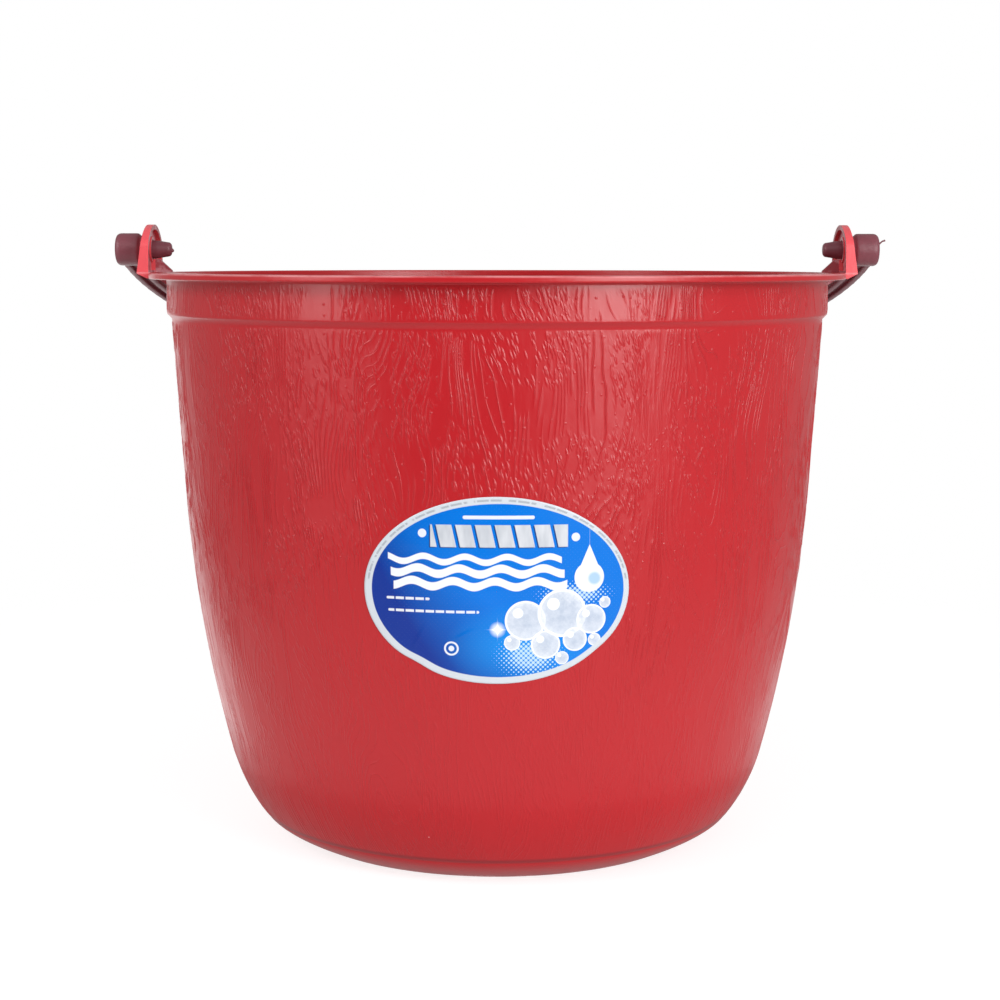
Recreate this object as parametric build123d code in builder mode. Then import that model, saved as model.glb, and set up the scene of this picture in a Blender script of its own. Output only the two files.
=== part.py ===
from build123d import *
from math import cos, radians, sin
import os

os.makedirs("parts", exist_ok=True)

# ---- Driving dimensions (mm). +Z is up, the floor is z = 0, the label faces -Y. ----

total_height = 268.0  # floor to the top of the rim
rim_outer_r = 164.6  # outer edge of the flange
flange_thickness = 2.9
flange_edge_round = 0.8
flange_cove_round = 1.0
band_outer_r = 156.4  # collar just under the flange
band_inner_r = 153.8
band_height = 21.2  # from the top of the rim to the collar's lower edge
band_chamfer_height = 2.2  # sloping lower edge of the collar
band_edge_round = 1.2
wall_thickness = 2.4

wall_top_r = 154.2  # outside of the wall where it leaves the collar
taper_end_r = 148.3
taper_end_z = 157.0  # the straight taper turns into the haunch here
haunch_mid_r = 141.2
haunch_mid_z = 99.1
belly_top_r = 129.0
belly_top_z = 42.0
belly_mid_r = 123.5
belly_mid_z = 26.7
crease_r = 115.3  # lower edge of the grained wall
crease_z = 12.7
crease_step = 1.0  # the smooth base sits this far inside the wall

base_curve_r = 111.9  # the base's curve would turn its corner here
base_curve_z = 7.1
foot_outer_r = 96.0
foot_inner_r = 91.0
underside_r = 89.6
underside_z = 2.8
floor_edge_r = 92.0
floor_top_z = 5.4
inner_belly_top_r = 126.6
inner_belly_top_z = 42.6
inner_belly_mid_r = 121.3
inner_belly_mid_z = 27.8
inner_base_top_r = 113.3
inner_base_top_z = 14.6
inner_base_curve_r = 109.4
inner_base_curve_z = 6.4

pivot_z = total_height + 10.8

# Ear: a D-shaped tab that stands on the flange and leans in a little
ear_half_width_base = 21.0
ear_half_width_top = 19.5
ear_shoulder_z = total_height + 14.0
ear_top_z = total_height + 22.6
ear_shoulder_round = 6.0
ear_bottom_z = total_height - 2.7
ear_lug_inner_x = 160.4
ear_lug_outer_x = 164.4
ear_corner_x = 169.1
ear_corner_z = total_height - 0.4
ear_mid_outer_x = 168.1
ear_mid_z = total_height + 6.6
ear_high_outer_x = 167.2
ear_high_z = total_height + 14.0
ear_tip_outer_x = 166.7
ear_inner_x = 163.5
ear_border = 2.2  # width of the border round the ear's pocket
ear_pocket_floor_x = 165.4
ear_pocket_bottom_z = total_height + 1.0
ear_reach_x = 175.0
hub_outer_r = 6.2
hub_inner_x = 164.6
hub_root_x = 166.0  # the hub and ribs run this far into the ear
peg_hole_r = 4.7

# Ribs that brace each ear, above and below the flange
rib_thickness = 2.4
rib_root_depth = 1.0  # how far the ribs run into the flange
upper_rib_foot_x = 155.5
upper_rib_foot_z = total_height + 0.8
upper_rib_nose_x = 162.2
upper_rib_nose_z = total_height + 7.0
lower_rib_inner_x = 155.8
lower_rib_outer_x = 164.2
lower_rib_tip_z = total_height - 7.6

# Bail handle: one moulding, hanging folded back against the wall
bail_hang_angle = 22.0  # below level, towards +Y
ring_centre_drop = 6.0  # the arms' circle is centred this far behind the pivots
bail_outer_r = 181.8
bail_inner_r = 172.2
bail_thickness = 6.8
bail_rib_width = 3.5  # raised edges of the arm's H-section
bail_web_thickness = 2.6
bail_edge_round = 0.7
arm_start_angle = 2.0  # the arms start inside the barrels
barrel_r = 7.7
barrel_inner_x = 170.6
barrel_outer_x = 182.0
barrel_outer_round = 2.4
barrel_inner_round = 1.0
neck_r = 6.4
neck_inner_x = 169.0
peg_r = 4.3
peg_tip_r = 3.2
peg_taper_start_x = 162.4
peg_tip_x = 155.6
peg_tip_round = 1.6

grip_half_width = 6.1  # across the grip, in the plane of the bail
grip_half_thickness = 9.0
grip_mid_r = 178.1  # about the arms' centre
grip_half_angle = 18.0
grip_end_round = 3.5
grip_groove_depth = 0.7
grip_groove_width = 2.2
grip_groove_count = 7
grip_groove_pitch = 4.0  # degrees along the grip

# Oval sticker on the front of the wall
label_half_width = 56.8
label_half_height = 40.0
label_centre_z = 137.7
label_thickness = 0.3

flange_bottom_z = total_height - flange_thickness
band_bottom_z = total_height - band_height


# ---- Ear at +X, with its lug, hub and two ribs; the other ear mirrors it ----

with BuildPart() as ear:
    # D-shaped outline seen along X
    with BuildSketch(Plane.YZ) as ear_outline:
        with BuildLine():
            Polyline(
                (-ear_half_width_top, ear_shoulder_z),
                (-ear_half_width_base, ear_bottom_z),
                (ear_half_width_base, ear_bottom_z),
                (ear_half_width_top, ear_shoulder_z),
            )
            ThreePointArc(
                (ear_half_width_top, ear_shoulder_z),
                (0, ear_top_z),
                (-ear_half_width_top, ear_shoulder_z),
            )
        make_face()
        fillet(ear_outline.vertices().group_by(Axis.Y)[-1], ear_shoulder_round)
    extrude(amount=ear_reach_x)
    # Leaning side profile, with the lug that joins the flange at its foot
    with BuildSketch(Plane.XZ) as ear_lean:
        with BuildLine():
            Polyline(
                (ear_lug_inner_x, ear_bottom_z),
                (ear_lug_outer_x, ear_bottom_z),
                (ear_corner_x, ear_corner_z),
                (ear_mid_outer_x, ear_mid_z),
                (ear_high_outer_x, ear_high_z),
                (ear_tip_outer_x, ear_top_z),
                (ear_inner_x, ear_top_z),
                (ear_inner_x, total_height),
                (ear_lug_inner_x, total_height - flange_edge_round),
                close=True,
            )
        make_face()
    extrude(amount=ear_half_width_base, both=True, mode=Mode.INTERSECT)
    # Pocket on the inner face, leaving a border and a thin web
    with BuildSketch(Plane.YZ.offset(ear_lug_inner_x)) as ear_pocket:
        add(ear_outline.face())
        offset(amount=-ear_border)
        with Locations((0, ear_pocket_bottom_z)):
            Rectangle(
                2 * ear_half_width_base,
                2 * total_height,
                align=(Align.CENTER, Align.MIN),
                mode=Mode.INTERSECT,
            )
    extrude(amount=ear_pocket_floor_x - ear_lug_inner_x, mode=Mode.SUBTRACT)
    # Hub round the peg hole
    with BuildSketch(Plane.YZ.offset(hub_inner_x)):
        with Locations((0, pivot_z)):
            Circle(hub_outer_r)
    extrude(amount=hub_root_x - hub_inner_x)
    # Brace from the hub down to the rim's inner edge
    with BuildSketch(Plane.XZ):
        with BuildLine():
            Polyline(
                (upper_rib_foot_x, total_height - rib_root_depth),
                (hub_root_x, total_height - rib_root_depth),
                (hub_root_x, upper_rib_nose_z),
                (upper_rib_nose_x, upper_rib_nose_z),
                (upper_rib_foot_x, upper_rib_foot_z),
                close=True,
            )
        make_face()
    extrude(amount=rib_thickness / 2, both=True)
    # Brace from the flange's underside to the collar
    with BuildSketch(Plane.XZ):
        with BuildLine():
            Polyline(
                (lower_rib_inner_x, flange_bottom_z + rib_root_depth),
                (lower_rib_outer_x, flange_bottom_z + rib_root_depth),
                (lower_rib_inner_x, lower_rib_tip_z),
                close=True,
            )
        make_face()
    extrude(amount=rib_thickness / 2, both=True)


# ---- Bucket body: one moulding with its flange, collar, foot and ears ----

with BuildPart() as bucket_body:
    with BuildSketch(Plane.XZ) as shell_section:
        with BuildLine():
            # Outside, from the standing ring up to the rim
            Line((foot_inner_r, 0), (foot_outer_r, 0))
            Bezier(
                (foot_outer_r, 0),
                (base_curve_r, base_curve_z),
                (crease_r - crease_step, crease_z - crease_step),
            )
            Line((crease_r - crease_step, crease_z - crease_step), (crease_r, crease_z))
            ThreePointArc(
                (crease_r, crease_z), (belly_mid_r, belly_mid_z), (belly_top_r, belly_top_z)
            )
            ThreePointArc(
                (belly_top_r, belly_top_z), (haunch_mid_r, haunch_mid_z), (taper_end_r, taper_end_z)
            )
            Polyline(
                (taper_end_r, taper_end_z),
                (wall_top_r, band_bottom_z),
                (band_outer_r, band_bottom_z + band_chamfer_height),
                (band_outer_r, flange_bottom_z),
                (rim_outer_r, flange_bottom_z),
                (rim_outer_r, total_height),
                (band_inner_r, total_height),
                (band_inner_r, band_bottom_z),
                (wall_top_r - wall_thickness, band_bottom_z - wall_thickness),
                (taper_end_r - wall_thickness, taper_end_z),
            )
            # Inside, from the taper down to the middle of the floor and back underneath
            ThreePointArc(
                (taper_end_r - wall_thickness, taper_end_z),
                (haunch_mid_r - wall_thickness, haunch_mid_z),
                (inner_belly_top_r, inner_belly_top_z),
            )
            ThreePointArc(
                (inner_belly_top_r, inner_belly_top_z),
                (inner_belly_mid_r, inner_belly_mid_z),
                (inner_base_top_r, inner_base_top_z),
            )
            Bezier(
                (inner_base_top_r, inner_base_top_z),
                (inner_base_curve_r, inner_base_curve_z),
                (floor_edge_r, floor_top_z),
            )
            Polyline(
                (floor_edge_r, floor_top_z),
                (0, floor_top_z),
                (0, underside_z),
                (underside_r, underside_z),
                (foot_inner_r, 0),
            )
        make_face()
        for corner, radius in (
            ((rim_outer_r, total_height, 0), flange_edge_round),
            ((rim_outer_r, flange_bottom_z, 0), flange_edge_round),
            ((band_inner_r, total_height, 0), flange_edge_round),
            ((band_outer_r, flange_bottom_z, 0), flange_cove_round),
            ((band_outer_r, band_bottom_z + band_chamfer_height, 0), band_edge_round),
        ):
            fillet(shell_section.vertices().sort_by_distance(corner)[0], radius)
    revolve(axis=Axis.Z)
    add(ear.part)
    mirror(ear.part, about=Plane.YZ)
    # Peg holes through both ears, on one line
    with Locations((0, 0, pivot_z)):
        Cylinder(
            peg_hole_r,
            2 * ear_reach_x,
            rotation=(0, 90, 0),
            mode=Mode.SUBTRACT,
        )

bucket_body.part.label = "bucket body"
export_step(bucket_body.part, "parts/bucket_body.step")


# ---- Bail handle: two arms, pegs and a round grip in one moulding ----

hang_cos = cos(radians(bail_hang_angle))
hang_sin = sin(radians(bail_hang_angle))
pivot = Vector(0, 0, pivot_z)
bail_normal = Vector(0, hang_sin, hang_cos)
ring_centre = pivot - Vector(0, hang_cos, -hang_sin) * ring_centre_drop
ring_axis = Axis(ring_centre, bail_normal)


def bail_section_plane(angle):
    """Plane across the bail at an angle from +X: its x is the radius, its y the thickness."""
    turn = radians(angle)
    outward = Vector(cos(turn), sin(turn) * hang_cos, -sin(turn) * hang_sin)
    return Plane(origin=ring_centre, x_dir=outward, z_dir=outward.cross(bail_normal))


with BuildPart() as peg_end:
    # Barrel, neck and peg as one turned shape along X
    with BuildSketch(Plane.XZ) as peg_section:
        with BuildLine():
            Polyline(
                (peg_tip_x, pivot_z),
                (peg_tip_x, pivot_z + peg_tip_r),
                (peg_taper_start_x, pivot_z + peg_r),
                (neck_inner_x, pivot_z + peg_r),
                (neck_inner_x, pivot_z + neck_r),
                (barrel_inner_x, pivot_z + neck_r),
                (barrel_inner_x, pivot_z + barrel_r),
                (barrel_outer_x, pivot_z + barrel_r),
                (barrel_outer_x, pivot_z),
                close=True,
            )
        make_face()
        for corner, radius in (
            ((barrel_outer_x, pivot_z + barrel_r, 0), barrel_outer_round),
            ((barrel_inner_x, pivot_z + barrel_r, 0), barrel_inner_round),
            ((peg_tip_x, pivot_z + peg_tip_r, 0), peg_tip_round),
        ):
            fillet(peg_section.vertices().sort_by_distance(corner)[0], radius)
    revolve(axis=Axis(pivot, (1, 0, 0)))

with BuildPart() as grip:
    # Oval grip that follows the bail's curve, with shallow rings round it
    with BuildSketch(bail_section_plane(90 - grip_half_angle)):
        with Locations((grip_mid_r, 0)):
            Ellipse(grip_half_width, grip_half_thickness)
    revolve(axis=ring_axis, revolution_arc=2 * grip_half_angle)
    end_faces = grip.faces().filter_by(GeomType.PLANE)
    fillet(end_faces.edges(), grip_end_round)
    for groove in range(grip_groove_count):
        angle = 90 + (groove - (grip_groove_count - 1) / 2) * grip_groove_pitch
        with BuildSketch(bail_section_plane(angle)):
            with Locations((grip_mid_r, 0)):
                Circle(2 * grip_half_thickness)
                Ellipse(
                    grip_half_width - grip_groove_depth,
                    grip_half_thickness - grip_groove_depth,
                    mode=Mode.SUBTRACT,
                )
        extrude(amount=grip_groove_width / 2, both=True, mode=Mode.SUBTRACT)

with BuildPart() as bail_handle:
    # H-section turned half way round about the bail's normal
    with BuildSketch(bail_section_plane(arm_start_angle)):
        with Locations(((bail_inner_r + bail_outer_r) / 2, 0)):
            RectangleRounded(bail_outer_r - bail_inner_r, bail_thickness, bail_edge_round)
            with GridLocations(0, bail_thickness, 1, 2):
                Rectangle(
                    bail_outer_r - bail_inner_r - 2 * bail_rib_width,
                    bail_thickness - bail_web_thickness,
                    mode=Mode.SUBTRACT,
                )
    revolve(axis=ring_axis, revolution_arc=180 - 2 * arm_start_angle)
    add(grip.part)
    add(peg_end.part)
    mirror(peg_end.part, about=Plane.YZ)

bail_handle.part.label = "bail handle"
export_step(bail_handle.part, "parts/bail_handle.step")


# ---- Label: thin oval sticker that follows the wall ----

with BuildPart() as label:
    with BuildSketch(Plane.XZ):
        with BuildLine():
            # The wall's outer profile where the sticker lies, and the same profile stood off
            ThreePointArc(
                (belly_top_r, belly_top_z), (haunch_mid_r, haunch_mid_z), (taper_end_r, taper_end_z)
            )
            Polyline(
                (taper_end_r, taper_end_z),
                (wall_top_r, band_bottom_z),
                (wall_top_r + label_thickness, band_bottom_z),
                (taper_end_r + label_thickness, taper_end_z),
            )
            ThreePointArc(
                (taper_end_r + label_thickness, taper_end_z),
                (haunch_mid_r + label_thickness, haunch_mid_z),
                (belly_top_r + label_thickness, belly_top_z),
            )
            Line((belly_top_r + label_thickness, belly_top_z), (belly_top_r, belly_top_z))
        make_face()
    revolve(axis=Axis.Z)
    with BuildSketch(Plane.XZ):
        with Locations((0, label_centre_z)):
            Ellipse(label_half_width, label_half_height)
    extrude(amount=rim_outer_r, mode=Mode.INTERSECT)

label.part.label = "label"
export_step(label.part, "parts/label.step")
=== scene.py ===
import bpy
import bmesh
import math
import numpy as np
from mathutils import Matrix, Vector


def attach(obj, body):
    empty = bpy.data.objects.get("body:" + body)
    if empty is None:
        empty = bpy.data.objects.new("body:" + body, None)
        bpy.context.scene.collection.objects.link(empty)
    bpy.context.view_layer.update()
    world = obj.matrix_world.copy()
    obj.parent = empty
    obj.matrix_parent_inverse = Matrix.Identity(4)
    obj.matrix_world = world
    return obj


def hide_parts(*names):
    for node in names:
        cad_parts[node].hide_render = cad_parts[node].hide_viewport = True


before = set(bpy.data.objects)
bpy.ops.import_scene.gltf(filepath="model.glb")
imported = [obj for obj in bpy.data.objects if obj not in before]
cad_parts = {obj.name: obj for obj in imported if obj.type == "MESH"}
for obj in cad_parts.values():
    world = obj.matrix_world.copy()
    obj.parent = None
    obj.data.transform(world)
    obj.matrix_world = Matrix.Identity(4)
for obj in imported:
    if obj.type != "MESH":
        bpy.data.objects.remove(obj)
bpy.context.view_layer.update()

# Lengths on the bucket are millimetres, and MM turns them into Blender's metres.
# The studio round it is laid out in metres.
MM = 0.001
RIM_Z = 268.0
FLANGE_R = 164.6
EAR_FACE_X = 163.4
LABEL_Z = 137.7
LABEL_A, LABEL_B = 56.8, 40.0  # half width and half height of the oval
LABEL_THICK = 0.25
LABEL_SOFT = 0.22  # width of a printed edge
WELD = 0.002  # corners closer than this are one

scene = bpy.context.scene
scene.view_settings.view_transform = "Standard"
scene.view_settings.look = "None"


# ---- Camera, light and floor ----

CAMERA_X = 1.3
CAMERA_Y = -967.5
CAMERA_Z = RIM_Z + 7.96
CAMERA_PITCH = 6.94  # degrees below level
CAMERA_ROLL = -0.05
CAMERA_LENS = 72.26
SENSOR = 36.0
WORLD_STRENGTH = 0.40
DOME_RADIUS = 8.0
FLOOR_RADIUS = 1.2
FLOOR_FADE = (0.22, 0.75)  # the floor is solid inside the first radius and gone at the second
CARD_Z = 0.0001  # just over the floor


def add_camera():
    data = bpy.data.cameras.new("camera")
    data.sensor_width = SENSOR
    data.lens = CAMERA_LENS
    data.clip_end = 20.0
    cam = bpy.data.objects.new("camera", data)
    scene.collection.objects.link(cam)
    cam.location = (CAMERA_X * MM, CAMERA_Y * MM, CAMERA_Z * MM)
    cam.rotation_euler = (math.radians(90 - CAMERA_PITCH), math.radians(CAMERA_ROLL), 0)
    scene.camera = cam


def add_softbox(name, location, target, size, power):
    """A white area light, with its place, its aim and its width and height in metres."""
    data = bpy.data.lights.new(name, "AREA")
    data.shape = "RECTANGLE"
    data.size, data.size_y = size
    data.energy = power
    lamp = bpy.data.objects.new(name, data)
    lamp.visible_camera = False
    scene.collection.objects.link(lamp)
    lamp.location = location
    aim = Vector(target) - Vector(location)
    lamp.rotation_euler = aim.to_track_quat("-Z", "Y").to_euler()


def add_world():
    world = bpy.data.worlds.new("studio")
    world.use_nodes = True
    scene.world = world
    background = world.node_tree.nodes["Background"]
    background.inputs["Color"].default_value = (1, 1, 1, 1)
    background.inputs["Strength"].default_value = WORLD_STRENGTH


def plain_emission(name, strength):
    mat = bpy.data.materials.new(name)
    mat.use_nodes = True
    tree = mat.node_tree
    tree.nodes.clear()
    glow = tree.nodes.new("ShaderNodeEmission")
    glow.inputs["Strength"].default_value = strength
    out = tree.nodes.new("ShaderNodeOutputMaterial")
    tree.links.new(glow.outputs[0], out.inputs["Surface"])
    return mat


def add_backdrop():
    """A white dome round everything. Only the camera sees it: it gives no light."""
    bpy.ops.mesh.primitive_uv_sphere_add(radius=DOME_RADIUS, segments=48, ring_count=24)
    dome = bpy.context.object
    dome.name = "backdrop"
    dome.data.materials.append(plain_emission("backdrop_white", 1.0))
    dome.visible_diffuse = False
    dome.visible_glossy = False
    dome.visible_transmission = False
    dome.visible_volume_scatter = False
    dome.visible_shadow = False


def add_card(name, corners, glow):
    """A panel that only glossy reflections see, as a studio uses to shape them."""
    mesh = bpy.data.meshes.new(name)
    mesh.from_pydata(corners, [], [tuple(range(len(corners)))])
    card = bpy.data.objects.new(name, mesh)
    scene.collection.objects.link(card)
    mesh.materials.append(plain_emission(name + "_paper", glow))
    card.visible_camera = False
    card.visible_diffuse = False
    card.visible_transmission = False
    card.visible_volume_scatter = False
    card.visible_shadow = False


def floor_sheet(name, albedo, glow):
    """A pale round floor, see-through from below, that fades into the white away from the bucket."""
    bpy.ops.mesh.primitive_circle_add(vertices=96, radius=FLOOR_RADIUS, fill_type="NGON")
    floor = bpy.context.object
    floor.name = name
    mat = bpy.data.materials.new(name + "_paper")
    mat.use_nodes = True
    tree = mat.node_tree
    bsdf = tree.nodes["Principled BSDF"]
    bsdf.inputs["Base Color"].default_value = (albedo, albedo, albedo, 1)
    bsdf.inputs["Roughness"].default_value = 0.95
    bsdf.inputs["Specular IOR Level"].default_value = 0.1
    bsdf.inputs["Emission Color"].default_value = (1, 1, 1, 1)
    bsdf.inputs["Emission Strength"].default_value = glow
    coord = tree.nodes.new("ShaderNodeTexCoord")
    length = tree.nodes.new("ShaderNodeVectorMath")
    length.operation = "LENGTH"
    tree.links.new(coord.outputs["Object"], length.inputs[0])
    fade = tree.nodes.new("ShaderNodeMapRange")
    fade.interpolation_type = "SMOOTHSTEP"
    fade.inputs["From Min"].default_value = FLOOR_FADE[0]
    fade.inputs["From Max"].default_value = FLOOR_FADE[1]
    tree.links.new(length.outputs["Value"], fade.inputs["Value"])
    clear = tree.nodes.new("ShaderNodeBsdfTransparent")
    from_below = tree.nodes.new("ShaderNodeNewGeometry").outputs["Backfacing"]
    either = tree.nodes.new("ShaderNodeMath")
    either.operation = "MAXIMUM"
    tree.links.new(fade.outputs["Result"], either.inputs[0])
    tree.links.new(from_below, either.inputs[1])
    mix = tree.nodes.new("ShaderNodeMixShader")
    tree.links.new(either.outputs[0], mix.inputs[0])
    tree.links.new(bsdf.outputs[0], mix.inputs[1])
    tree.links.new(clear.outputs[0], mix.inputs[2])
    tree.links.new(mix.outputs[0], tree.nodes["Material Output"].inputs["Surface"])
    floor.data.materials.append(mat)
    return floor


def add_floor():
    """One sheet for the camera, nearly white, and one that gives the bucket its bounce light."""
    seen = floor_sheet("floor", 0.34, 0.80)
    seen.visible_diffuse = False
    seen.visible_glossy = False
    seen.visible_shadow = False
    bounce = floor_sheet("floor_bounce", 0.42, 0.42)
    bounce.location.z = -0.2 * MM
    bounce.visible_camera = False
    bounce.visible_shadow = False


# name, place, aim, width and height, power
SOFTBOXES = (
    ("key_right", (0.92, -1.17, 0.45), (0.05, -0.1, 0.2), (0.80, 0.80), 15.0),
    ("key_left", (-1.06, -0.71, 0.50), (-0.1, -0.05, 0.2), (0.42, 0.90), 4.6),
    ("high_front", (0.10, -1.25, 1.02), (0, -0.1, 0.18), (1.1, 0.4), 1.9),
    ("high_right", (0.97, -0.82, 1.00), (0, -0.1, 0.18), (0.9, 0.4), 3.0),
    ("high_left", (-1.00, -0.58, 1.00), (0, -0.1, 0.18), (0.9, 0.4), 4.4),
)


def upright(x_range, y, z_range):
    """Corners of a standing panel that faces the front."""
    (x0, x1), (z0, z1) = x_range, z_range
    return [(x0, y, z0), (x1, y, z0), (x1, y, z1), (x0, y, z1)]


def lying(outline):
    """Corners of a panel that lies on the floor."""
    return [(x, y, CARD_Z) for x, y in outline]


def circle(radius, count):
    turns = [2 * math.pi * k / count for k in range(count)]
    return [(radius * math.cos(t), radius * math.sin(t)) for t in turns]


# The two dark panels deepen the red; the bright ones behind the bucket make its outline paler
LEFT_FLOOR = [(-0.30, 0.10), (-0.19, 0.02), (-0.28, 1.0), (-0.78, 1.0)]
RIGHT_FLOOR = [(0.19, 0.02), (0.24, 0.10), (0.56, 1.0), (0.28, 1.0)]
CARDS = (
    ("front_card", upright((-0.46, 0.12), -0.60, (-0.02, 0.52)), 0.0),
    ("ground_card", lying(circle(0.17, 48)), 0.38),
    ("left_wing", upright((-0.78, -0.28), 1.0, (0, 0.5)), 1.6),
    ("right_wing", upright((0.28, 0.56), 1.0, (0, 0.5)), 1.1),
    ("left_ground", lying(LEFT_FLOOR), 1.6),
    ("right_ground", lying(RIGHT_FLOOR), 1.1),
)


add_camera()
add_world()
add_backdrop()
add_floor()
for row in SOFTBOXES:
    add_softbox(*row)
for row in CARDS:
    add_card(*row)


# ---- Node helpers ----

class Num:
    """A number in a node tree; arithmetic on it adds Math nodes."""

    def __init__(self, tree, socket):
        self.tree = tree
        self.socket = socket

    def op(self, name, *others, clamp=False):
        node = self.tree.nodes.new("ShaderNodeMath")
        node.operation = name
        node.use_clamp = clamp
        for i, value in enumerate((self,) + others):
            if isinstance(value, Num):
                self.tree.links.new(value.socket, node.inputs[i])
            else:
                node.inputs[i].default_value = value
        return Num(self.tree, node.outputs[0])

    def __add__(self, o):
        return self.op("ADD", o)

    def __sub__(self, o):
        return self.op("SUBTRACT", o)

    def __mul__(self, o):
        return self.op("MULTIPLY", o)

    def __truediv__(self, o):
        return self.op("DIVIDE", o)

    def __abs__(self):
        return self.op("ABSOLUTE")

    def sq(self):
        return self * self

    def sin(self):
        return self.op("SINE")

    def fract(self):
        return self.op("FRACT")

    def clamp(self):
        return self.op("ADD", 0.0, clamp=True)

    def most(self, o):
        return self.op("MAXIMUM", o)

    def below(self, edge, soft):
        """1 where self is under edge, 0 over it, with a soft step."""
        return ((self * -1.0 + edge) / soft + 0.5).clamp()

    def above(self, edge, soft):
        return ((self - edge) / soft + 0.5).clamp()


def hypot(a, b):
    return (a.sq() + b.sq()).op("SQRT")


def new_material(name, **settings):
    mat = bpy.data.materials.new(name)
    mat.use_nodes = True
    bsdf = mat.node_tree.nodes["Principled BSDF"]
    for key, value in settings.items():
        bsdf.inputs[key.replace("_", " ")].default_value = value
    return mat, mat.node_tree, bsdf


def attribute(tree, name):
    node = tree.nodes.new("ShaderNodeAttribute")
    node.attribute_name = name
    return Num(tree, node.outputs["Fac"])


def vector_attribute(tree, name):
    node = tree.nodes.new("ShaderNodeAttribute")
    node.attribute_name = name
    return node.outputs["Vector"]


def object_coords(tree, stretch=(1, 1, 1)):
    coord = tree.nodes.new("ShaderNodeTexCoord")
    mapping = tree.nodes.new("ShaderNodeMapping")
    mapping.inputs["Scale"].default_value = stretch
    tree.links.new(coord.outputs["Object"], mapping.inputs["Vector"])
    return mapping.outputs["Vector"]


def noise(tree, scale, detail=2.0, roughness=0.5, stretch=(1, 1, 1)):
    tex = tree.nodes.new("ShaderNodeTexNoise")
    tex.inputs["Scale"].default_value = scale
    tex.inputs["Detail"].default_value = detail
    tex.inputs["Roughness"].default_value = roughness
    tree.links.new(object_coords(tree, stretch), tex.inputs["Vector"])
    return Num(tree, tex.outputs["Fac"])


def cell_dots(tree, scale, vector=None):
    """Distance to the nearest of scattered points, in cells, and a random number for each."""
    tex = tree.nodes.new("ShaderNodeTexVoronoi")
    tex.inputs["Scale"].default_value = scale
    tree.links.new(vector or object_coords(tree), tex.inputs["Vector"])
    split = tree.nodes.new("ShaderNodeSeparateColor")
    tree.links.new(tex.outputs["Color"], split.inputs[0])
    return Num(tree, tex.outputs["Distance"]), Num(tree, split.outputs[0])


def components(tree, vector):
    split = tree.nodes.new("ShaderNodeSeparateXYZ")
    tree.links.new(vector, split.inputs[0])
    return [Num(tree, split.outputs[i]) for i in range(3)]


def mix_color(tree, fac, a, b):
    node = tree.nodes.new("ShaderNodeMix")
    node.data_type = "RGBA"
    for socket, value in ((node.inputs[0], fac), (node.inputs[6], a), (node.inputs[7], b)):
        if isinstance(value, Num):
            tree.links.new(value.socket, socket)
        elif isinstance(value, bpy.types.NodeSocket):
            tree.links.new(value, socket)
        elif isinstance(value, tuple):
            socket.default_value = value + (1.0,)
        else:
            socket.default_value = value
    return node.outputs[2]


def bump(tree, bsdf, height, distance):
    node = tree.nodes.new("ShaderNodeBump")
    node.inputs["Distance"].default_value = distance
    tree.links.new(height.socket, node.inputs["Height"])
    tree.links.new(node.outputs[0], bsdf.inputs["Normal"])


# ---- Materials ----

RED_DEEP, RED_LIGHT = (0.430, 0.0075, 0.0120), (0.475, 0.0095, 0.0150)
CREST_PAINTED_HIGHLIGHT = (0.52, 0.016, 0.022)
EAR_PAINTED_GLOW = (0.84, 0.100, 0.120)
POCKET_PAINTED_SHADE, POCKET_PAINTED_GLARE = (0.24, 0.055, 0.070), (0.50, 0.30, 0.33)
RIM_PAINTED_HIGHLIGHT = (0.80, 0.42, 0.44)
CREASE_PAINTED_SHADE = (0.16, 0.012, 0.016)
SCUFF_PINK = (0.85, 0.60, 0.60)
DOTS_PER_METRE = 340
SPECKS_PER_METRE = 42
MAROON_DARK, MAROON_LIGHT = (0.160, 0.037, 0.051), (0.222, 0.061, 0.079)


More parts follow.
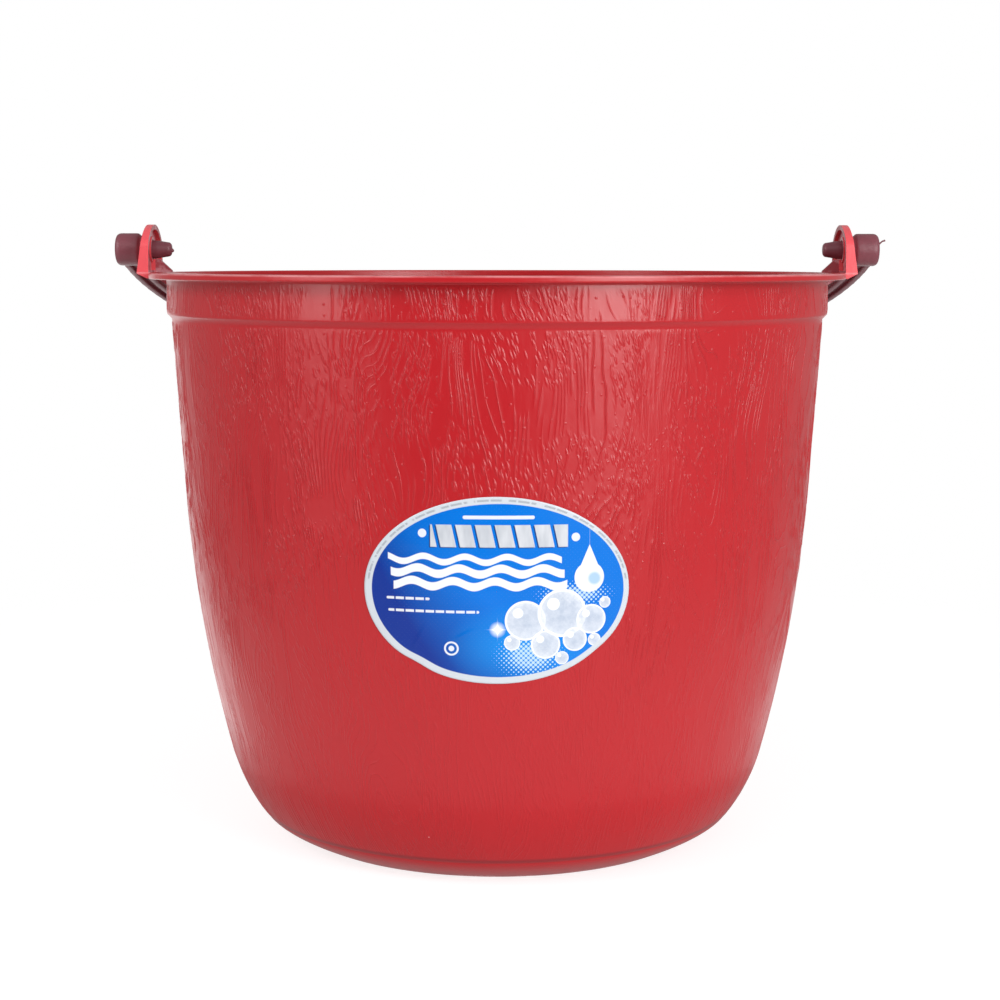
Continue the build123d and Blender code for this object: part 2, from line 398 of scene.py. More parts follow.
def bucket_material():
    """Red plastic. The grained wall carries the lines' phase, spacing and strength."""
    mat, tree, bsdf = new_material("bucket_red_plastic", IOR=1.5)
    x, y, z = components(tree, object_coords(tree))
    mask = attribute(tree, "mask")
    off = abs(attribute(tree, "phase").fract() - 0.5) * attribute(tree, "spacing")
    line = (off.sq() * -7.5 + 1.0).clamp() * mask
    distance, pick = cell_dots(tree, DOTS_PER_METRE)
    dot = (distance * -5.0 + (pick * 0.60 + 0.70)).clamp() * pick.above(0.50, 0.02)
    dot = dot * attribute(tree, "grained")
    reach, chance = cell_dots(tree, 1.0, vector_attribute(tree, "seeds"))
    seed = (reach * -3.4 + (chance * 0.5 + 1.50)).clamp() * chance.above(0.22, 0.02)
    seed = seed * attribute(tree, "seeded")
    cloud = noise(tree, 14, 3)
    base = mix_color(tree, cloud, RED_DEEP, RED_LIGHT)
    # Painted highlight: the crests of the grain lines are painted a lighter red
    base = mix_color(tree, (line * 0.30).clamp(), base, CREST_PAINTED_HIGHLIGHT)
    # Painted glow: the thin ears get a lighter red standing in for light shining through them. Their
    # side that faces the bucket gets painted shade, mottled with pale patches of painted glare
    ear = attribute(tree, "thin")
    base = mix_color(tree, ear * 0.8, base, EAR_PAINTED_GLOW)
    normal_x = components(tree, tree.nodes.new("ShaderNodeNewGeometry").outputs["Normal"])[0]
    inward = (normal_x * x / abs(x).most(0.001)).below(-0.5, 0.3)
    inward = inward.most(abs(x).below(EAR_FACE_X * MM, 0.0004)) * ear
    glare_patches = noise(tree, 150, 5, 0.65)
    painted_pocket = mix_color(tree, glare_patches.above(0.52, 0.12), POCKET_PAINTED_SHADE, POCKET_PAINTED_GLARE)
    base = mix_color(tree, inward * 0.75, base, painted_pocket)
    # Painted highlight: a pale line along the flange's top edge, broken up by noise
    edge = hypot(x, y).above((FLANGE_R - 0.7) * MM, 0.0006) * z.above((RIM_Z - 0.7) * MM, 0.0006)
    edge = edge * z.below((RIM_Z + 0.2) * MM, 0.0002) * noise(tree, 45, 4, 0.6).above(0.40, 0.25)
    base = mix_color(tree, edge * 0.45, base, RIM_PAINTED_HIGHLIGHT)
    # Pale scuffs where the base has been dragged along the floor, and a few specks higher up
    fleck = noise(tree, 800, 4, 0.7).below(0.46, 0.04) * noise(tree, 60, 2).above(0.48, 0.1)
    low = z.below(0.0018, 0.0016) * y.below(-0.03, 0.05)
    far, luck = cell_dots(tree, SPECKS_PER_METRE)
    speck = far.below(0.012, 0.006) * luck.above(0.72, 0.02) * z.below(0.10, 0.04)
    # Painted shade: a dark line along the crease where the wall meets the base
    crease_shade = abs(z - CREASE[1] * MM).below(0.0010, 0.0012)
    crease_shade = crease_shade * hypot(x, y).above((CREASE[0] - 1.5) * MM, 0.0004)
    base = mix_color(tree, crease_shade * 0.55, base, CREASE_PAINTED_SHADE)
    scuff = (fleck * low + speck).clamp()
    base = mix_color(tree, scuff * 0.8, base, SCUFF_PINK)
    tree.links.new(base, bsdf.inputs["Base Color"])
    rough = noise(tree, 60, 4) * 0.07 + 0.285 + scuff * 0.3
    tree.links.new(rough.socket, bsdf.inputs["Roughness"])
    streaks = noise(tree, 620, 3, 0.6, (1, 1, 0.12)) * 0.24
    fine = noise(tree, 900, 3) * 0.06 + noise(tree, 170, 3) * 0.28 + streaks
    bump(tree, bsdf, line.most(seed * 0.8) + dot * 0.7 + fine, 0.00024)
    return mat


def handle_material():
    mat, tree, bsdf = new_material("handle_maroon_plastic", IOR=1.48)
    cloud = noise(tree, 90, 4)
    base = mix_color(tree, cloud, MAROON_DARK, MAROON_LIGHT)
    tree.links.new(base, bsdf.inputs["Base Color"])
    rough = noise(tree, 160, 4) * 0.16 + 0.34
    tree.links.new(rough.socket, bsdf.inputs["Roughness"])
    fine = noise(tree, 700, 4) + noise(tree, 120, 2) * 0.8
    bump(tree, bsdf, fine, 0.00012)
    return mat


def bar(u, v, u_range, height, half):
    """Round-ended bar from one u to another at that height."""
    u0, u1 = u_range
    past = (abs(u - (u0 + u1) / 2) - (u1 - u0) / 2 + half).most(0.0)
    return hypot(past, v - height).below(half, LABEL_SOFT)


def dashes(u, v, u_range, height, half, pitch):
    """Bar cut into short dashes."""
    cut = abs((u / pitch).fract() - 0.5) * pitch
    return bar(u, v, u_range, height, half) * cut.below(pitch / 2 - 0.35, LABEL_SOFT)


def disc(u, v, centre, radius, soft=0.15):
    return hypot(u - centre[0], v - centre[1]).below(radius, soft)


def drop(u, v, centre, radius, top):
    """Water drop: a disc with a point above it."""
    taper = ((v * -1.0 + top) / (top - centre[1])).most(0.0)
    point = (abs(u - centre[0]) - taper * radius * 0.93).below(0.0, LABEL_SOFT)
    return disc(u, v, centre, radius).most(point * v.above(centre[1], LABEL_SOFT))


BLOCK_PITCH, BLOCK_HALF, BLOCK_TALL = 8.15, 3.25, 4.7
RIBBON_U, RIBBON_V, RIBBON_HALF = 1.05, 23.5, 28.6


def ribbon(u, v):
    """Row of slanted blocks, with their dark shadow."""
    def blocks(du, dv):
        lean = ((u - du + (v - dv) * 0.22 + 27.6) / BLOCK_PITCH).fract()
        gap = (abs(lean - 0.45) * BLOCK_PITCH).below(BLOCK_HALF, LABEL_SOFT)
        tall = abs(v - (RIBBON_V + dv)).below(BLOCK_TALL, LABEL_SOFT)
        return gap * tall * abs(u - (RIBBON_U + du)).below(RIBBON_HALF, LABEL_SOFT)
    return blocks(0, 0), blocks(-0.55, -0.35)


WAVES = ((13.6, 1.35), (8.6, 1.75), (3.2, 1.75))  # height and half thickness
WAVE_SWING, WAVE_HALF = 1.25, 36.5


def waves(u, v):
    """Three water waves, one under another."""
    total = None
    for k, (height, half) in enumerate(WAVES):
        line = (u * 0.36 + 0.9 * k).sin() * WAVE_SWING + height
        ends = abs(u - (-9.4 + 1.2 * k)).below(WAVE_HALF, 0.3)
        one = abs(v - line).below(half, LABEL_SOFT) * ends
        total = one if total is None else total.most(one)
    return total


# Middle and radius of each bubble
BUBBLES = (
    (12.0, -12.5, 8.6), (27.5, -9.5, 10.4), (40.0, -12.5, 6.4), (20.5, -23.0, 6.2),
    (33.0, -21.0, 5.2), (41.5, -21.5, 2.8), (6.5, -22.0, 3.4), (27.5, -29.0, 2.9), (46.0, -5.5, 2.5),
)


def bubbles(u, v, shade):
    """Soap bubbles: cover and whiteness."""
    cover = bright = None
    for cu, cv, r in BUBBLES:
        inside = disc(u, v, (cu, cv), r)
        out = hypot(u - cu, v - cv) / r
        rim = out.above(0.90, 0.06)
        glint = disc(u, v, (cu - 0.36 * r, cv + 0.38 * r), 0.24 * r, 0.5)
        tone = (out.sq() * 0.30 + shade * 0.75 + rim * 0.45 + glint).clamp() * inside
        cover = inside if cover is None else cover.most(inside)
        bright = tone if bright is None else bright.op("MULTIPLY_ADD", inside * -0.75 + 1.0, tone)
    return cover, bright.clamp()


HALFTONE_CELL = 1.45


def halftone(u, v):
    """Fans of printed dots under and beside the bubbles."""
    a, b = (u + v) * 0.707, (u - v) * 0.707
    near = hypot((a / HALFTONE_CELL).fract() - 0.5, (b / HALFTONE_CELL).fract() - 0.5)
    near = near * HALFTONE_CELL
    low = (hypot((u - 14.0) / 17.0, (v + 28.0) / 11.5) * -1.0 + 1.0).clamp()
    side = (hypot((u - 33.0) / 19.0, (v + 1.5) / 6.5) * -1.0 + 1.0).clamp()
    size = (low.most(side) * 1.5).clamp() * 0.66
    return (size - near).above(0.0, 0.16)


AZURE, NAVY, SKY = (0.0004, 0.165, 0.660), (0.001, 0.028, 0.270), (0.004, 0.270, 0.780)
WHITE, SILVER, INK = (0.80, 0.82, 0.86), (0.60, 0.64, 0.69), (0.012, 0.030, 0.10)
DOT_BLUE, DROP_BLUE = (0.55, 0.72, 0.90), (0.30, 0.52, 0.85)
STEEL_DARK, STEEL_PALE = (0.42, 0.45, 0.50), (0.86, 0.87, 0.90)
FOAM_DARK, FOAM_PALE = (0.30, 0.38, 0.50), (0.92, 0.93, 0.95)
STAR_WHITE, TINY_GREY = (0.95, 0.96, 1.0), (0.10, 0.12, 0.16)
RING, STAR = (-18.9, -24.7), (0.4, -16.3)
BORDER_WIDTH = 2.85
PRINT_LINES = (((-46.7, -28.0), -3.5), ((-46.0, -7.2), -8.8))  # ends and height


def label_material():
    """Glossy printed film: a blue ground, a silver border and a plain washing motif."""
    mat, tree, bsdf = new_material("label_print", IOR=1.4)
    u, v, inset = (attribute(tree, n) for n in ("u", "v", "inset"))
    dusk = ((u * -0.55 - v * 0.62 - 4.0) / 33.0).clamp()
    edge_shade = (abs(u + 6.0) / 60.0).sq() * u.below(0.0, 30.0)
    base = mix_color(tree, (dusk + edge_shade * 0.9).clamp(), AZURE, NAVY)
    glow = (hypot((u - 12.0) / 34.0, (v + 24.0) / 20.0) * -1.0 + 1.0).clamp()
    base = mix_color(tree, glow, base, SKY)
    base = mix_color(tree, halftone(u, v) * 0.9, base, DOT_BLUE)
    blocks, shadow = ribbon(u, v)
    base = mix_color(tree, shadow * 0.8, base, INK)
    metal = noise(tree, 260, 2, 0.5, (1, 1, 0.3)) * 0.9 - 0.1
    steel = mix_color(tree, metal.clamp(), STEEL_DARK, STEEL_PALE)
    base = mix_color(tree, blocks, base, steel)
    base = mix_color(tree, waves(u, v), base, WHITE)
    small = bar(u, v, (-14.0, 15.7), 31.4, 0.75).most(disc(u, v, (-31.0, 24.5), 1.8))
    small = small.most(disc(u, v, (33.0, 22.8), 1.8))
    for u_range, height in PRINT_LINES:
        small = small.most(dashes(u, v, u_range, height, 0.55, 4.3))
    ring = disc(u, v, RING, 3.1) * (disc(u, v, RING, 2.3) * -1.0 + 1.0)
    small = small.most(ring).most(disc(u, v, RING, 1.2))
    base = mix_color(tree, small * 0.9, base, WHITE)
    base = mix_color(tree, drop(u, v, (39.0, 5.6), 6.4, 19.5), base, WHITE)
    base = mix_color(tree, disc(u, v, (41.2, 5.0), 2.6, 1.2) * 0.8, base, DROP_BLUE)
    shade = noise(tree, 330, 4, 0.7)
    cover, bright = bubbles(u, v, shade)
    foam = mix_color(tree, bright, FOAM_DARK, FOAM_PALE)
    base = mix_color(tree, cover * 0.94, base, foam)
    star_u, star_v = u - STAR[0], v - STAR[1]
    rays = (abs(star_u) * -0.9 + (abs(star_v) * -0.16 + 1.0)).clamp()
    rays = rays.most((abs(star_v) * -0.9 + (abs(star_u) * -0.16 + 1.0)).clamp())
    flare = (hypot(star_u, star_v) / -3.6 + 1.0).clamp()
    base = mix_color(tree, (rays * rays + flare * 1.2).clamp(), base, STAR_WHITE)
    border_width = (u / LABEL_A) * -0.5 + BORDER_WIDTH
    border = (inset - border_width).below(0.0, 0.2)
    base = mix_color(tree, border, base, SILVER)
    turn = attribute(tree, "turn")
    letter = abs((turn * 150.0).fract() - 0.5).below(0.34, 0.2)
    word = (turn * 24.0).sin().above(-0.8, 0.2) * (turn * 61.0).sin().above(-0.9, 0.2)
    tiny = letter * word * abs(inset - border_width * 0.5).below(0.42, LABEL_SOFT) * v.above(4.0, 1.0)
    base = mix_color(tree, tiny * 0.6, base, TINY_GREY)
    tree.links.new(base, bsdf.inputs["Base Color"])
    rough = noise(tree, 120, 3) * 0.10 + 0.16
    tree.links.new(rough.socket, bsdf.inputs["Roughness"])
    paper = noise(tree, 70, 3, 0.5) + noise(tree, 500, 3) * 0.08
    bump(tree, bsdf, paper, 0.00030)
    return mat


# ---- Section of the bucket: the same outline as the frame's solid ----

def arc3(a, b, c, n):
    """n + 1 points on the arc from a through b to c."""
    (ax, ay), (bx, by), (cx, cy) = a, b, c
    d = 2 * (ax * (by - cy) + bx * (cy - ay) + cx * (ay - by))
    sa, sb, sc = ax * ax + ay * ay, bx * bx + by * by, cx * cx + cy * cy
    ox = (sa * (by - cy) + sb * (cy - ay) + sc * (ay - by)) / d
    oy = (sa * (cx - bx) + sb * (ax - cx) + sc * (bx - ax)) / d
    r = math.hypot(ax - ox, ay - oy)
    t = [math.atan2(p[1] - oy, p[0] - ox) for p in (a, b, c)]
    turn = np.linspace(*np.unwrap(t)[[0, 2]], n + 1)
    return np.c_[ox + r * np.cos(turn), oy + r * np.sin(turn)]


def bezier(a, b, c, n):
    t = np.linspace(0, 1, n + 1)[:, None]
    a, b, c = np.array(a), np.array(b), np.array(c)
    return a * (1 - t) ** 2 + 2 * b * t * (1 - t) + c * t * t


def fillet(a, b, c, radius, n):
    """n + 1 points of the round of that radius at corner b, between the lines to a and c."""
    a, b, c = np.array(a), np.array(b), np.array(c)
    u, v = (a - b) / np.hypot(*(a - b)), (c - b) / np.hypot(*(c - b))
    half = math.acos(float(u @ v)) / 2
    centre = b + (u + v) / np.hypot(*(u + v)) * radius / math.sin(half)
    spokes = [b + u * radius / math.tan(half) - centre, b + v * radius / math.tan(half) - centre]
    t = np.unwrap([math.atan2(s[1], s[0]) for s in spokes])
    turn = np.linspace(t[0], t[1], n + 1)
    return centre + radius * np.c_[np.cos(turn), np.sin(turn)]


CREASE, STEP = (115.3, 12.7), (114.3, 11.7)
BELLY_MID, BELLY_TOP = (123.5, 26.7), (129.0, 42.0)
HAUNCH_MID, TAPER_END = (141.2, 99.1), (148.3, 157.0)
BAND_BOTTOM = (154.2, RIM_Z - 21.2)
BAND_EDGE = (156.4, RIM_Z - 19.0)
BAND_TOP = (156.4, RIM_Z - 2.9)
FLANGE_LOW, FLANGE_HIGH = (FLANGE_R, RIM_Z - 2.9), (FLANGE_R, RIM_Z)
MOUTH = (153.8, RIM_Z)
MOUTH_LOW = (153.8, RIM_Z - 21.2)
INNER_WALL_TOP, INNER_TAPER_END = (151.8, RIM_Z - 23.6), (145.9, 157.0)
INNER_HAUNCH_MID, INNER_BELLY_TOP = (138.8, 99.1), (126.6, 42.6)
INNER_BELLY_MID, INNER_BASE_TOP = (121.3, 27.8), (113.3, 14.6)
FLOOR_EDGE = (92.0, 5.4)
COVE = 1.0
EDGE_ROUND = 0.8
SEAM_Z = BAND_TOP[1] - COVE - 0.2  # the grained wall ends here, just under the flange's cove

outer_wall = np.vstack(
    [
        arc3(CREASE, BELLY_MID, BELLY_TOP, 24),
        arc3(BELLY_TOP, HAUNCH_MID, TAPER_END, 60)[1:],
        [BAND_BOTTOM],
    ]
)
rim_outline = np.vstack(
    [
        [(BAND_TOP[0], SEAM_Z)],
        fillet(BAND_EDGE, BAND_TOP, FLANGE_LOW, COVE, 8),
        fillet(BAND_TOP, FLANGE_LOW, FLANGE_HIGH, EDGE_ROUND, 8),
        fillet(FLANGE_LOW, FLANGE_HIGH, MOUTH, EDGE_ROUND, 8),
        fillet(FLANGE_HIGH, MOUTH, MOUTH_LOW, EDGE_ROUND, 8),
        [MOUTH_LOW],
    ]
)


def resample(points, spacing):
    """Points along the polyline about spacing apart."""
    step = np.hypot(*np.diff(points, axis=0).T)
    along = np.r_[0, np.cumsum(step)]
    n = max(2, int(round(along[-1] / spacing)))
    s = np.linspace(0, along[-1], n + 1)
    return np.c_[np.interp(s, along, points[:, 0]), np.interp(s, along, points[:, 1])]


def mesh_object(name, verts, faces):
    """Smooth-shaded mesh from points in millimetres and faces with equal numbers of corners."""
    mesh = bpy.data.meshes.new(name)
    verts = np.asarray(verts, np.float64).reshape(-1, 3) * MM
    faces = np.asarray(faces, np.int32)
    mesh.vertices.add(len(verts))
    mesh.vertices.foreach_set("co", verts.astype(np.float32).ravel())
    mesh.loops.add(faces.size)
    mesh.loops.foreach_set("vertex_index", faces.ravel())
    mesh.polygons.add(len(faces))
    mesh.polygons.foreach_set("loop_start", np.arange(len(faces), dtype=np.int32) * faces.shape[1])
    mesh.update(calc_edges=True)
    mesh.validate()
    mesh.polygons.foreach_set("use_smooth", np.ones(len(mesh.polygons), bool))
    obj = bpy.data.objects.new(name, mesh)
    scene.collection.objects.link(obj)
    return obj


def ring_faces(rows, cols, closed=True):
    """Quads of a grid of rows by cols points; closed joins the last column to the first."""
    r = np.arange(rows - 1)[:, None]
    c = np.arange(cols if closed else cols - 1)[None, :]
    n = (c + 1) % cols
    quad = np.stack(
        np.broadcast_arrays(r * cols + c, r * cols + n, (r + 1) * cols + n, (r + 1) * cols + c), -1
    )
    return quad.reshape(-1, 4)


def turned(radius, theta, z):
    """Points at an angle round the axis; theta = 0 is the front, -Y."""
    return np.stack(np.broadcast_arrays(radius * np.sin(theta), -radius * np.cos(theta), z), -1)


def float_attribute(obj, name, values):
    layer = obj.data.attributes.new(name, "FLOAT", "POINT")
    layer.data.foreach_set("value", np.asarray(values, np.float32).ravel())


# ---- Wood grain moulded into the wall ----

GRAIN_LINES = 540  # round the whole bucket
GRAIN_R = 150.0
GRAIN_DEPTH = 0.30
RIDGE_HALF = 0.6
SEED_WIDE, SEED_TALL, SEED_SLANT = 1.35, 4.8, 0.32


def gradient_noise(px, py, pz, seed):
    """Smooth noise, about -1 to 1, with cells one unit wide."""
    rng = np.random.default_rng(seed)
    size = 512
    grads = rng.normal(size=(size, 3))
    grads /= np.linalg.norm(grads, axis=1)[:, None]
    perm = rng.permutation(size)
    cells = [np.floor(p).astype(np.int64) for p in (px, py, pz)]
    fx, fy, fz = (p - c for p, c in zip((px, py, pz), cells))
    wx, wy, wz = (f ** 3 * (f * (f * 6 - 15) + 10) for f in (fx, fy, fz))
    total = np.zeros(np.broadcast(px, py, pz).shape)
    for dx in (0, 1):
        hx = perm[(cells[0] + dx) % size]
        kx = wx if dx else 1 - wx
        for dy in (0, 1):
            hy = perm[(hx + cells[1] + dy) % size]
            ky = wy if dy else 1 - wy
            for dz in (0, 1):
                g = grads[perm[(hy + cells[2] + dz) % size]]
                kz = wz if dz else 1 - wz
                dot = g[..., 0] * (fx - dx) + g[..., 1] * (fy - dy) + g[..., 2] * (fz - dz)
                total += kx * ky * kz * dot
    return total * 1.7


def smooth_step(x, low, high):
    t = np.clip((x - low) / (high - low), 0, 1)
    return t * t * (3 - 2 * t)


def grain_field(theta, radius, z):
    """The lines' phase, spacing and strength, the low relief and how busy each place is."""
    gx, gy = GRAIN_R * np.cos(theta), GRAIN_R * np.sin(theta)
    gx, gy, gz = np.broadcast_arrays(gx, gy, z)
    sway = 9.0 * gradient_noise(gx / 34, gy / 34, gz / 95, 1)
    sway += 2.9 * gradient_noise(gx / 15, gy / 15, gz / 44, 2)
    sway += 0.35 * gradient_noise(gx / 6, gy / 6, gz / 15, 3)
    phase = GRAIN_LINES * (theta + np.pi) / (2 * np.pi) + sway
    d_theta = theta[0, 1] - theta[0, 0]
    across = np.gradient(sway, axis=1) / d_theta
    across = (across + GRAIN_LINES / (2 * np.pi)) / radius
    along = np.gradient(sway, axis=0) / np.gradient(z, axis=0)
    spacing = 1 / np.maximum(np.hypot(across, along), 0.12)
    line = np.mod(np.floor(phase), GRAIN_LINES)
    # Each line is broken into runs, long in calm zones and short in busy ones
    busy = smooth_step(gradient_noise(gx / 24, gy / 24, gz / 38, 5), -0.35, 0.05)
    long_run = gradient_noise(line * 1.37 + 0.5, gz / 34, 0 * gz + 0.5, 6)
    short_run = gradient_noise(line * 2.11 + 0.5, gz / 8.5, 0 * gz + 0.5, 7)
    run = (1 - busy) * smooth_step(long_run, -0.22, 0.0)
    run += busy * smooth_step(short_run, -0.02, 0.16)
    calm = smooth_step(gradient_noise(gx / 11, gy / 11, gz / 26, 10), -0.65, -0.40)
    strength = 0.75 + 0.45 * gradient_noise(gx / 18, gy / 18, gz / 30, 8)
    mask = np.clip(run * calm * strength, 0, 1.2)
    relief = gradient_noise(gx / 3.2, gy / 3.2, gz / 9, 9) + gradient_noise(gx / 9, gy / 9, gz / 16, 11)
    return phase, spacing, mask, 0.16 * relief, busy * calm


def seed_points(theta, z):
    """Places in the pattern of short slanted seeds, in cells of one seed each."""
    turn = theta + (SEED_SLANT * z + 5 * np.sin(theta * 3 + z / 60)) / GRAIN_R
    cells = np.broadcast_arrays(GRAIN_R * np.cos(turn), GRAIN_R * np.sin(turn), z)
    return np.stack([cells[0] / SEED_WIDE, cells[1] / SEED_WIDE, cells[2] / SEED_TALL], -1)


def wall_radius(z):
    """Outer radius of the plain wall at height z."""
    return np.interp(z, outer_wall[:, 1], outer_wall[:, 0])


def build_wall():
    """The wall and the collar, dense enough to carry the grain as real relief."""
    columns = 1800
    spacing = 1.0
    lower = resample(outer_wall, spacing)
    edge = fillet(BAND_BOTTOM, BAND_EDGE, BAND_TOP, 1.2, 5)
    upper = resample(np.array([edge[-1], (BAND_TOP[0], SEAM_Z)]), spacing)
    rows = np.vstack([[STEP], lower, edge[:-1], upper])
    theta = np.linspace(-np.pi, np.pi, columns + 1)[None, :]
    r, z = rows[:, :1], rows[:, 1:]
    phase, gap, mask, relief, busy = grain_field(theta, r, z + 0 * theta)
    fade = smooth_step(z, CREASE[1], CREASE[1] + 3)
    fade = fade * (1 - smooth_step(z, BAND_BOTTOM[1] - 2.5, BAND_BOTTOM[1] - 0.8))
    collar = smooth_step(z, BAND_EDGE[1] + 0.6, BAND_EDGE[1] + 2)
    fade += collar * (1 - smooth_step(z, SEAM_Z - 3, SEAM_Z))
    x = r * np.sin(theta)
    inside = np.sqrt((x / LABEL_A) ** 2 + ((z - LABEL_Z) / LABEL_B) ** 2)
    under = np.where(np.abs(theta) < 1, smooth_step(inside, 1.0, 1.03), 1.0)
    fade = fade * (0.12 + 0.88 * under) * (0.5 + 0.5 * smooth_step(z, 70, 160))
    # The lines come out of a broad, soft ridge; the material sharpens its crest
    off = np.abs(phase - np.floor(phase) - 0.5) * gap
    ridge = np.clip(1 - (off / RIDGE_HALF) ** 2, 0, 1) ** 1.5
    height = (ridge * mask * 0.8 + relief) * fade
    height[:, -1] = height[:, 0]
    points = turned(r + height * GRAIN_DEPTH, theta, z)
    obj = mesh_object("bucket_wall", points, ring_faces(len(rows), columns + 1, False))
    float_attribute(obj, "phase", phase)
    float_attribute(obj, "spacing", gap)
    float_attribute(obj, "mask", mask * fade)
    float_attribute(obj, "seeded", busy * fade)
    float_attribute(obj, "grained", fade + 0 * theta)
    layer = obj.data.attributes.new("seeds", "FLOAT_VECTOR", "POINT")
    layer.data.foreach_set("vector", seed_points(theta, z).astype(np.float32).ravel())
    return obj


def lathe(name, section, columns=512):
    """Surface of revolution of a section given as (radius, height)."""
    section = np.asarray(section, float)
    theta = (np.arange(columns) / columns * 2 * np.pi)[None, :]
    points = turned(section[:, :1], theta, section[:, 1:])
    return mesh_object(name, points, ring_faces(len(section), columns))


def sharpen(obj, degrees=32):
    """Shade smooth, with edges sharper than the angle left crisp."""
    bm = bmesh.new()
    bm.from_mesh(obj.data)
    limit = math.radians(degrees)
    for e in bm.edges:
        e.smooth = len(e.link_faces) == 2 and e.calc_face_angle(0) < limit
    for f in bm.faces:
        f.smooth = True
    bm.to_mesh(obj.data)
    bm.free()


AXIS_R = 0.01  # the turned surfaces stop this close to the axis


RECESS_Z = 2.8  # the middle of the underside stands this far off the floor


def build_shell():
    """Everything of the bucket that turns about its axis, except the grained wall."""
    base = np.vstack(
        [
            [(AXIS_R, RECESS_Z), (60.0, RECESS_Z), (89.6, RECESS_Z)],
            fillet((89.6, RECESS_Z), (91.0, 0), (96.0, 0), 0.4, 3),
            bezier((96.0, 0), (111.9, 7.1), STEP, 18),
        ]
    )
    inside = np.vstack(
        [
            rim_outline,
            [INNER_WALL_TOP, INNER_TAPER_END],
            arc3(INNER_TAPER_END, INNER_HAUNCH_MID, INNER_BELLY_TOP, 24)[1:],
            arc3(INNER_BELLY_TOP, INNER_BELLY_MID, INNER_BASE_TOP, 12)[1:],
            bezier(INNER_BASE_TOP, (109.4, 6.4), FLOOR_EDGE, 12)[1:],
            [(60.0, FLOOR_EDGE[1]), (AXIS_R, FLOOR_EDGE[1])],
        ]
    )
    return lathe("base_part", base), lathe("rim_part", inside)


EAR_LOWEST, EAR_REACH = 258.0, 26.0  # the ears and ribs lie above this height and within this of y = 0
ON_SURFACE = 0.12


def cad_ears():
    """The ears and their ribs: the solid's faces that don't lie on the turned section."""
    bm = bmesh.new()
    bm.from_mesh(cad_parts["bucket_body"].data)
    bmesh.ops.remove_doubles(bm, verts=bm.verts, dist=WELD * MM)
    start, step = rim_outline[:-1], np.diff(rim_outline, axis=0)
    length = np.maximum((step ** 2).sum(1), 1e-9)

    def turned_surface(co):
        p = np.array([math.hypot(co.x, co.y), co.z]) / MM
        if p[1] < EAR_LOWEST or p[0] < MOUTH[0] - 0.3 or abs(co.y) > EAR_REACH * MM:
            return True
        t = np.clip(((p - start) * step).sum(1) / length, 0, 1)
        near = start + step * t[:, None]
        return ((near - p) ** 2).sum(1).min() < ON_SURFACE ** 2

    on_turned = {v.index: turned_surface(v.co) for v in bm.verts}
    gone = [f for f in bm.faces if all(on_turned[v.index] for v in f.verts)]
    bmesh.ops.delete(bm, geom=gone, context="FACES")
    mesh = bpy.data.meshes.new("ears")
    bm.to_mesh(mesh)
    bm.free()
    obj = bpy.data.objects.new("ears_part", mesh)
    scene.collection.objects.link(obj)
    return obj


def join(name, objects):
    bpy.ops.object.select_all(action="DESELECT")
    for o in objects:
        o.select_set(True)
    bpy.context.view_layer.objects.active = objects[0]
    bpy.ops.object.join()
    objects[0].name = name
    objects[0].data.name = name
    return objects[0]


# ---- Bail: the frame's solid with its edges softened as a moulding's are ----

def tube(name, path, radii, sides=10):
    """Round tube along a short list of points, open at both ends."""
    path = [Vector(p) for p in path]
    points = []
    for i, (p, r) in enumerate(zip(path, radii)):
        ahead = path[min(i + 1, len(path) - 1)] - path[max(i - 1, 0)]
        side = ahead.cross(Vector((0, 1, 0))).normalized()
        up = side.cross(ahead).normalized()
        for k in range(sides):
            t = 2 * math.pi * k / sides
            points.append(p + (side * math.cos(t) + up * math.sin(t)) * r)
    return mesh_object(name, points, ring_faces(len(path), sides))


BAIL_VOXEL, BAIL_VOXEL_QUICK = 0.55, 1.2
GATE_THREAD = (
    (181.0, 0, 280.8), (182.6, 0, 281.6), (184.0, 0, 282.9), (185.3, 0, 283.3), (185.6, 0, 283.1),
)
GATE_THREAD_R = (0.55, 0.42, 0.36, 0.48, 0.02)
GATE_NUB = ((-156.2, 0, 278.4), (-155.5, 0, 278.3), (-154.8, 0, 278.0), (-154.6, 0, 277.9))
GATE_NUB_R = (1.3, 1.0, 0.6, 0.02)


def build_bail():
    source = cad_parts["bail_handle"]
    rough = bpy.data.objects.new("bail_rough", source.data.copy())
    scene.collection.objects.link(rough)
    bm = bmesh.new()
    bm.from_mesh(rough.data)
    bmesh.ops.remove_doubles(bm, verts=bm.verts, dist=WELD * MM)
    bm.to_mesh(rough.data)
    bm.free()
    remesh = rough.modifiers.new("remesh", "REMESH")
    remesh.mode = "VOXEL"
    remesh.voxel_size = BAIL_VOXEL * MM
    graph = bpy.context.evaluated_depsgraph_get()
    mesh = bpy.data.meshes.new_from_object(rough.evaluated_get(graph))
    bpy.data.objects.remove(rough)
    bm = bmesh.new()
    bm.from_mesh(mesh)
    for _ in range(2):
        bmesh.ops.smooth_vert(
            bm, verts=bm.verts, factor=0.5, use_axis_x=True, use_axis_y=True, use_axis_z=True
        )
    for f in bm.faces:
        f.smooth = True
    bm.to_mesh(mesh)
    bm.free()
    bail = bpy.data.objects.new("bail_moulding", mesh)
    scene.collection.objects.link(bail)
    # A thread of plastic left at the mould's gate on one barrel, and a nub on one peg
    thread = tube("gate_thread", GATE_THREAD, GATE_THREAD_R)
    nub = tube("gate_nub", GATE_NUB, GATE_NUB_R)
    return join("bail_moulding", [bail, thread, nub])


# ---- Label: a thin film laid on the wall ----

# Where the film was laid over the round wall it creased: middle, length, angle and height
CREASES = (
    (-33, -21, 11, 62, 0.34), (-14, -19, 9, 28, 0.30),
    (8, -7, 10, 17, 0.20), (-38, -8, 8, 75, 0.16),
)


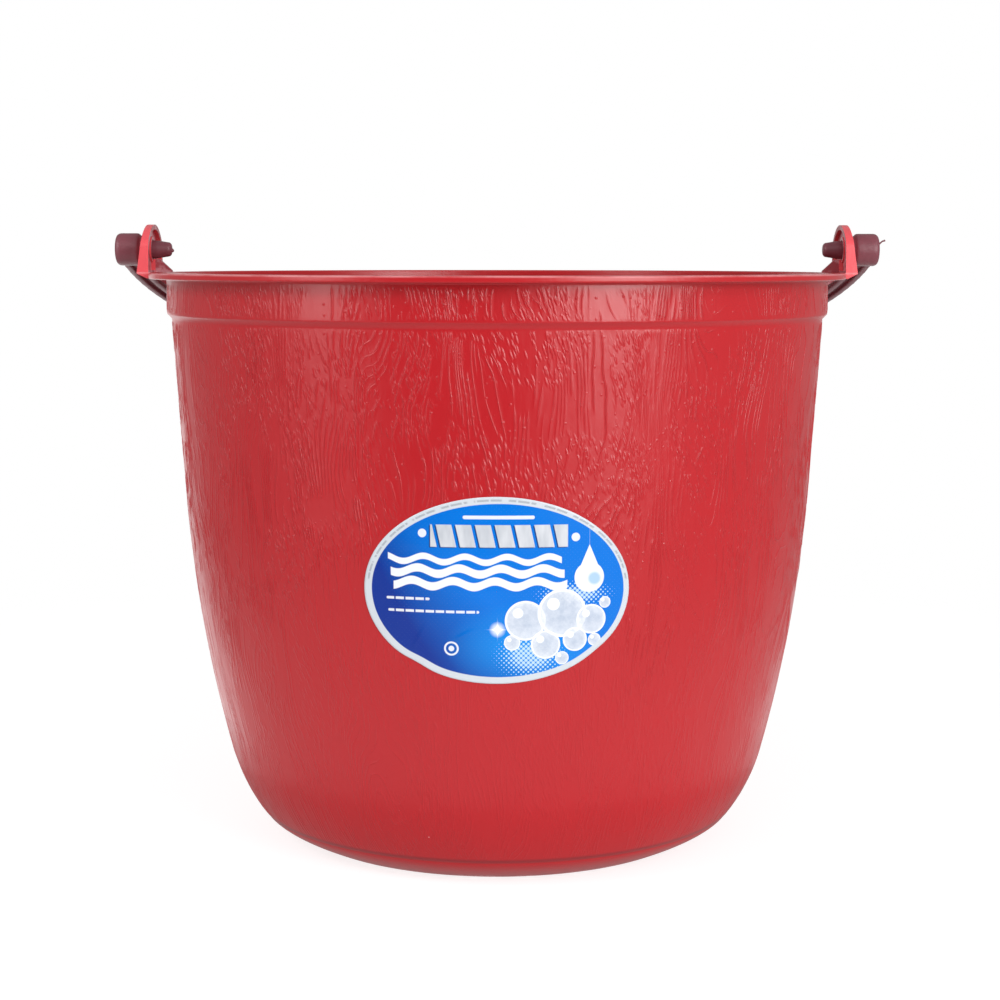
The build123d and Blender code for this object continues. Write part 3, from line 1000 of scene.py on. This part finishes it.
def build_label():
    rings, spokes = 70, 360
    turn = np.linspace(0, 2 * np.pi, spokes, endpoint=False)
    # The sheet's edge is not a perfect oval: it pulls in a little in two places
    pulled = 1 - 0.020 * np.exp(-((np.degrees(turn) - 233) / 8) ** 2)
    pulled -= 0.010 * np.exp(-((np.degrees(turn) - 318) / 10) ** 2)
    share = np.r_[0.002, np.linspace(0, 1, rings)[1:], 1.0][:, None]
    u = share * LABEL_A * np.cos(turn) * pulled
    v = share * LABEL_B * np.sin(turn) * pulled
    outline = np.hypot(LABEL_A * np.cos(turn), LABEL_B * np.sin(turn)) * pulled
    inset = (1 - share) * outline * 0.97
    lift = np.full(u.shape, LABEL_THICK)
    lift += 0.05 * gradient_noise(u / 9, v / 9, 0 * u + 0.5, 21)
    lift += 0.03 * gradient_noise(u / 3, v / 5, 0 * u + 0.5, 22)
    for cu, cv, length, angle, high in CREASES:
        a = math.radians(angle)
        along = (u - cu) * math.cos(a) + (v - cv) * math.sin(a)
        across = (v - cv) * math.cos(a) - (u - cu) * math.sin(a)
        lift += high * np.exp(-(across / 0.8) ** 2 - (2 * along / length) ** 2)
    lift[-1] = 0.02
    z = LABEL_Z + v
    base = wall_radius(z)
    film = mesh_object("label_film", turned(base + lift, u / base, z), ring_faces(rings + 1, spokes))
    for name, values in (("u", u), ("v", v), ("inset", inset), ("turn", turn + 0 * share)):
        float_attribute(film, name, values)
    return film


# ---- The pieces and what they ride on ----

red = bucket_material()

wall = build_wall()
wall.data.materials.append(red)
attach(wall, "bucket")

base_part, rim_part = build_shell()
ears = cad_ears()
float_attribute(ears, "thin", np.ones(len(ears.data.vertices)))
shell = join("bucket_shell", [rim_part, base_part, ears])
sharpen(shell)
shell.data.materials.clear()
shell.data.materials.append(red)
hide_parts("bucket_body")
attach(shell, "bucket")

bail = build_bail()
bail.data.materials.clear()
bail.data.materials.append(handle_material())
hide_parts("bail_handle")
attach(bail, "bail")

film = build_label()
film.data.materials.append(label_material())
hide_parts("label")
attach(film, "bucket")
